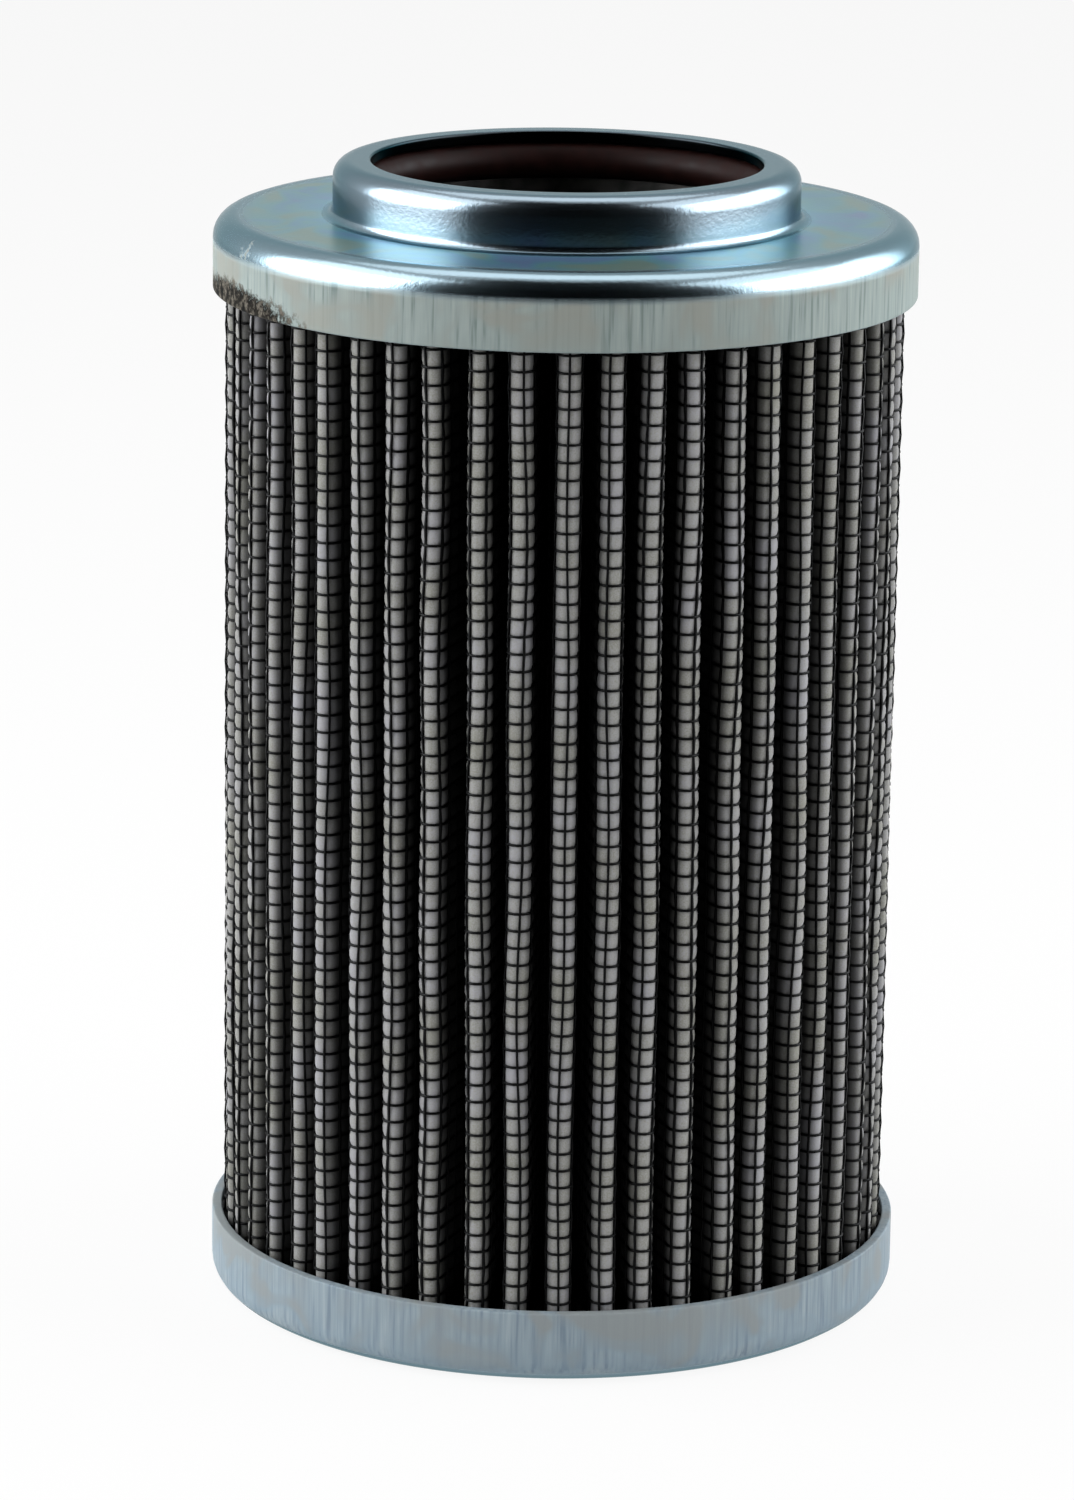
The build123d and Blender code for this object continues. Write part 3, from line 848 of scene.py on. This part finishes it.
# %% Side seam
SEAM_FOLD = PLEATS // 2
SEAM_MARGIN = 1.0  # cloth left free at the flank's two ends
flank_ends = np.array([LENGTHS[1] + SEAM_MARGIN, LENGTHS[2] - SEAM_MARGIN])
seam_places = np.concatenate([-flank_ends[::-1], flank_ends]) / PITCH_ROUND
seam_along, seam_up = np.meshgrid(seam_places + SEAM_FOLD * WIRES_ROUND / PLEATS, coarse_rows)
seam_rows, seam_corners = seam_along.shape
seam_faces = np.concatenate([
    grid_faces(seam_rows, seam_corners, round_columns=True),
    np.arange(seam_corners)[None, ::-1],
    np.arange(seam_corners)[None] + (seam_rows - 1) * seam_corners,
])
seam = make_piece("seam_strip", cloth(seam_along, seam_up, PACK_DEPTH), seam_faces)
place_piece(seam, "side_seam", dark_epoxy)

# %% [markdown]
# ### Caps
#
# Each cap is one sheet of even thickness, so the bend inside a corner is the outer bend less the
# sheet, or more by it where the corner turns the other way. Cut edges are slightly rounded.

# %% Caps
SKIRT_INSIDE = CAP_RADIUS - SHEET
COLLAR_INSIDE = COLLAR_RADIUS - SHEET
CAP_UNDERSIDE = SHOULDER_LEVEL - SHEET
CUT_EDGE = 0.18
FLAT_MIDDLE = 4  # radius within which one flat face closes the cup
top_cap = turned_ring("upper_cap", [
    (SKIRT_INSIDE, UPPER_EDGE, CUT_EDGE),
    (CAP_RADIUS, UPPER_EDGE, CUT_EDGE),
    (CAP_RADIUS, SHOULDER_LEVEL, SHOULDER_BEND),
    (COLLAR_RADIUS, SHOULDER_LEVEL, COLLAR_FOOT_BEND),
    (COLLAR_RADIUS, RIM_LEVEL, COLLAR_TOP_BEND),
    (BORE_RADIUS, RIM_LEVEL, LIP_EDGE_BREAK),
    (BORE_RADIUS, RIM_LEVEL - SHEET),
    (COLLAR_INSIDE, RIM_LEVEL - SHEET, COLLAR_TOP_BEND - SHEET),
    (COLLAR_INSIDE, CAP_UNDERSIDE, COLLAR_FOOT_BEND + SHEET),
    (SKIRT_INSIDE, CAP_UNDERSIDE, SHOULDER_BEND - SHEET),
])
place_piece(top_cap, "top_end_cap", upper_zinc)
bottom_cap = turned_cup("lower_cap", rounded_section([
    (FLAT_MIDDLE, 0),
    (CAP_RADIUS, 0, SHOULDER_BEND),
    (CAP_RADIUS, LOWER_EDGE, CUT_EDGE),
    (SKIRT_INSIDE, LOWER_EDGE, CUT_EDGE),
    (SKIRT_INSIDE, SHEET, SHOULDER_BEND - SHEET),
    (FLAT_MIDDLE, SHEET),
])[1:-1])
place_piece(bottom_cap, "bottom_end_cap", lower_zinc)

# %% [markdown]
# ### Seal ring
#
# The seal is a plain round ring, so its section is a circle of points.

# %% Seal ring
RING_STEPS = 32
around = np.linspace(0, 2 * np.pi, RING_STEPS, endpoint=False)
half_section = RING_SECTION / 2
ring_out = RING_RADIUS - half_section + half_section * np.cos(around)
ring_up = RING_LOW + half_section * (1 + np.sin(around))
ring_points = turned_points(np.stack([ring_out, ring_up], 1))
ring = make_piece("seal", ring_points, grid_faces(*ring_points.shape[:2], True, True))
place_piece(ring, "seal_ring", seal_rubber)

# %% [markdown]
# ### Adhesive
#
# The lower bed set as it was poured: level, with slow waves, and drawn up a little at the cap's
# wall. Its top is a grid round the axis, whose height is the bed's level plus both effects.

# %% Lower adhesive
WALL_BAND = 1.2  # band at the wall with more points, for the rise
WALL_RISE, RISE_REACH = 0.4, 0.5  # height at the wall, and the way in which it falls to a third
BED_WAVES = ((0.08, 3, 1.0), (0.05, 7, 0.4))  # height, waves round the axis, start
BED_OFFSET = 0.14  # keeps the waves above the bed's level
open_bed = np.linspace(TUBE_RADIUS, SKIRT_INSIDE - WALL_BAND, 12)
bed_radius = np.concatenate([open_bed, SKIRT_INSIDE - WALL_BAND + WALL_BAND * np.linspace(0.15, 1, 8)])
wall_corner = (SKIRT_INSIDE, SHEET, SHOULDER_BEND - SHEET)
bed_section = np.concatenate([
    [(TUBE_RADIUS, SHEET)],
    np.stack([bed_radius, np.full(len(bed_radius), BED_LOW)], 1),
    rounded_section([(SKIRT_INSIDE, BED_LOW), wall_corner, (TUBE_RADIUS, SHEET)])[4:-3],
])
bed_points = turned_points(bed_section)
bed_angle = np.arctan2(bed_points[..., 1], bed_points[..., 0])
on_top = bed_points[..., 2] > BED_LOW - 0.01
bed_distance = np.hypot(bed_points[..., 0], bed_points[..., 1])
drawn_up = WALL_RISE * np.exp(-(SKIRT_INSIDE - bed_distance) / RISE_REACH)
slow = sum(high * np.sin(waves * bed_angle + start) for high, waves, start in BED_WAVES) + BED_OFFSET
bed_points[..., 2] += on_top * (drawn_up + slow)
bed = make_piece("lower_bed", bed_points, grid_faces(*bed_points.shape[:2], True, True), sharp_angle=50)
place_piece(bed, "lower_adhesive", dark_epoxy)

# %% [markdown]
# ### Solids that stay
#
# The tube, the seal's retainer and the upper adhesive hardly show, and only need a finish.

# %% Solids that stay
KEPT_SOLIDS = {"support_tube": plain_steel, "seal_retainer": plain_steel, "upper_adhesive": dark_epoxy}
for node, material in KEPT_SOLIDS.items():
    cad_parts[node].data.materials.clear()
    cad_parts[node].data.materials.append(material)
    print(node, "keeps its solid, in", material.name)

# %% [markdown]
# ## Studio
#
# The photograph was taken from about 14 degrees above, with a soft light close to each side. The
# floor and the world look white to the camera and in reflections, and light the object only
# plainly.

# %% Floor
def stage_sheet(name, points, faces, material):
    """A sheet of the studio, from points in metres. It isn't part of the object."""
    mesh = bpy.data.meshes.new(name)
    mesh.from_pydata(points, [], faces)
    mesh.materials.append(material)
    sheet = new_object(name, mesh)
    return sheet


def seen_directly(tree):
    """1 for camera, glossy and transmission rays, 0 for rays that carry light."""
    path = add(tree, "LightPath").outputs
    either = add(tree, "Math", {0: path["Is Camera Ray"], 1: path["Is Glossy Ray"]}, operation="MAXIMUM")
    return add(tree, "Math", {0: either, 1: path["Is Transmission Ray"]}, operation="MAXIMUM")


FLOOR = 2.5
FLOOR_LEVEL = -0.02 * MM  # a hair under the lower cap, so that the two faces never coincide
FLOOR_GLOW = 0.90  # share of plain white in what is seen of the floor; the rest keeps the shadow
PAPER = {"Base_Color": linear("#EDEDED"), "Roughness": 0.9, "Specular_IOR_Level": 0.0}
floor_material, tree, shader = new_material("white_paper", **PAPER)
glow = add(tree, "Emission", {"Color": (1.0, 1.0, 1.0, 1.0), "Strength": 1.0})
share = add(tree, "Math", {0: seen_directly(tree), 1: FLOOR_GLOW}, operation="MULTIPLY")
fill(tree.nodes["Material Output"], {"Surface": add(tree, "MixShader", {0: share, 1: shader, 2: glow})})
floor_corners = [(-FLOOR, -FLOOR), (FLOOR, -FLOOR), (FLOOR, FLOOR), (-FLOOR, FLOOR)]
stage_sheet("floor", [(*corner, FLOOR_LEVEL) for corner in floor_corners], [(0, 1, 2, 3)], floor_material)
print("floor", 2 * FLOOR, "m wide")

# %% [markdown]
# Smooth metal shows what it mirrors, so the light and dark bands on the collar and the shoulder
# come from cards that only reflections see. A dark card lies in front and a dark screen stands
# behind it, where the photographer was. Bright cards stand at the sides: one sheet, black in
# front, whose brightness is a ramp over the turn and grows with the height.

# %% Cards for the reflections
DARK_TURN = 52  # degrees to each side of the front
CARD_NEAR, CARD_FAR, CARD_LEVEL = 0.13, 0.8, 0.002  # metres in front of the axis, and over the floor
CARD_MIDDLE = np.array([0, 0, 0.11])  # the curved cards' centre, at the upper cap
CARD_COLUMNS, CARD_ROWS = 33, 9
# Turn in degrees and brightness
SIDE_LIGHTS = [(-112, 0.3), (-102, 1.0), (-70, 1.0), (-48, 0.0), (54, 0.0), (78, 0.7), (124, 0.7), (138, 0.2)]


def curved_card(name, reach, turns, rises, material):
    """Part of a sphere round the cap, between two turns and two rises in degrees: 0, 0 is in front."""
    turns, rises = np.radians(np.linspace(*turns, CARD_COLUMNS)), np.radians(np.linspace(*rises, CARD_ROWS))
    turn, rise = np.meshgrid(turns, rises)
    points = np.stack([np.sin(turn) * np.cos(rise), -np.cos(turn) * np.cos(rise), np.sin(rise)], -1) * reach
    points = (points + CARD_MIDDLE).reshape(-1, 3).tolist()
    return stage_sheet(name, points, grid_faces(CARD_ROWS, CARD_COLUMNS).tolist(), material)


BLACK = {"Base_Color": linear("#101214"), "Roughness": 1.0, "Specular_IOR_Level": 0.0}
dark_material, tree, shader = new_material("black_card", **BLACK)
near, far = CARD_NEAR * np.tan(np.radians(DARK_TURN)), CARD_FAR * np.tan(np.radians(DARK_TURN))
dark_corners = [(-far, -CARD_FAR), (far, -CARD_FAR), (near, -CARD_NEAR), (-near, -CARD_NEAR)]
dark_points = [(*corner, CARD_LEVEL) for corner in dark_corners]

WHITE = {"Base_Color": (0, 0, 0, 1), "Emission_Color": (0.93, 0.97, 1.0, 1), "Specular_IOR_Level": 0.0}
bright_material, tree, shader = new_material("white_card", **WHITE)
place = add(tree, "TexCoord").outputs["Object"]
turned = add(tree, "Mapping", {"Vector": place, "Rotation": (0.0, 0.0, np.pi / 2)})
azimuth = add(tree, "TexGradient", {"Vector": turned}, gradient_type="RADIAL")  # 0.5 in front
side_stops = [(0.5 + turn / 360, bright) for turn, bright in SIDE_LIGHTS]
level = add(tree, "ValToRGB", {0: azimuth.outputs["Fac"]}, stops=side_stops)
height = add(tree, "SeparateXYZ", {0: place}).outputs["Z"]
rising = add(tree, "MapRange", {0: height, 1: 0.06, 2: 0.11, 3: 3.6, 4: 12.0})  # from 6 to 11 cm up
strength = add(tree, "Math", {0: level, 1: rising}, operation="MULTIPLY")
fill(shader, {"Emission Strength": strength})
bright_material.cycles.emission_sampling = "NONE"  # only mirrors see it, so no light is aimed from it
cards = [
    stage_sheet("floor_card", dark_points, [(0, 1, 2, 3)], dark_material),
    curved_card("front_screen", 0.8, (-DARK_TURN, DARK_TURN), (-8, 76), dark_material),
    curved_card("side_lights", 0.7, (SIDE_LIGHTS[0][0], SIDE_LIGHTS[-1][0]), (-30, 34), bright_material),
]
for card in cards:
    card.visible_camera = False
    card.visible_diffuse = False
    card.visible_shadow = False
    card.visible_transmission = False
print("cards", [card.name for card in cards])

# %% [markdown]
# The world is white where it is seen, and a soft grey light otherwise, so that the folds keep
# their depth.

# %% World
WORLD_LIGHT = 0.25
world = bpy.data.worlds.new("studio")
bpy.context.scene.world = world
world.use_nodes = True
tree = world.node_tree
level = add(tree, "MapRange", {0: seen_directly(tree), 3: WORLD_LIGHT, 4: 1.0})
fill(tree.nodes["Background"], {"Color": (1.0, 1.0, 1.0, 1.0), "Strength": level})
print("world light", WORLD_LIGHT)

# %% [markdown]
# Two tall soft boxes stand close to the sides, the left one stronger, as in the photograph. They
# light the folds' tips and leave the slits black. A third one hangs above, a little behind.

# %% Lamps
LAMP_AIM = Vector((0, 0, 0.06))
SIDE_DISTANCE, SIDE_HEIGHT = 0.45, 0.30


def soft_light(name, azimuth, distance, height, size, watts):
    """A soft box that faces the object. Azimuth 0 is in front of it, and 90 on the right."""
    lamp = bpy.data.lights.new(name, "AREA")
    lamp.shape = "RECTANGLE"
    lamp.size, lamp.size_y = size
    lamp.energy = watts
    box = new_object(name, lamp)
    turn = np.radians(azimuth)
    box.location = (distance * np.sin(turn), -distance * np.cos(turn), height)
    box.rotation_euler = (LAMP_AIM - box.location).to_track_quat("-Z", "Y").to_euler()
    print(name, watts, "W")


soft_light("left_box", -82, SIDE_DISTANCE, SIDE_HEIGHT, (0.5, 0.6), 2.9)
soft_light("right_box", 84, SIDE_DISTANCE, SIDE_HEIGHT, (0.5, 0.6), 2.2)
soft_light("top_box", 180, 0.25, 0.9, (0.8, 0.5), 2.5)

# %% [markdown]
# The camera stands where the photograph was taken from. Its place, roll and lens come from fitting
# a perspective view to the caps, the collar and the bore.

# %% Camera
CAMERA_HEIGHT_ANGLE = np.radians(14.366)
CAMERA_ROLL = np.radians(0.865)
CAMERA_DISTANCE = 0.604965
CAMERA_AIM = np.array([0, 0, 0.055])
camera_data = bpy.data.cameras.new("camera")
camera_data.sensor_width, camera_data.lens = 36.0, 146.5
camera_data.shift_x, camera_data.shift_y = -0.01443, -0.00593
camera = new_object("camera", camera_data)
bpy.context.scene.camera = camera
sine, cosine = np.sin(CAMERA_HEIGHT_ANGLE), np.cos(CAMERA_HEIGHT_ANGLE)
right, upward, back = np.array([1, 0, 0]), np.array([0, sine, cosine]), np.array([0, -cosine, sine])
rolled = np.cos(CAMERA_ROLL) * right + np.sin(CAMERA_ROLL) * upward
steady = -np.sin(CAMERA_ROLL) * right + np.cos(CAMERA_ROLL) * upward
columns = np.column_stack([rolled, steady, back, CAMERA_AIM + CAMERA_DISTANCE * back])
camera.matrix_world = Matrix([*columns.tolist(), [0, 0, 0, 1]])
bpy.context.scene.view_settings.view_transform = "Standard"
print("camera at", [round(value, 3) for value in camera.matrix_world.translation])
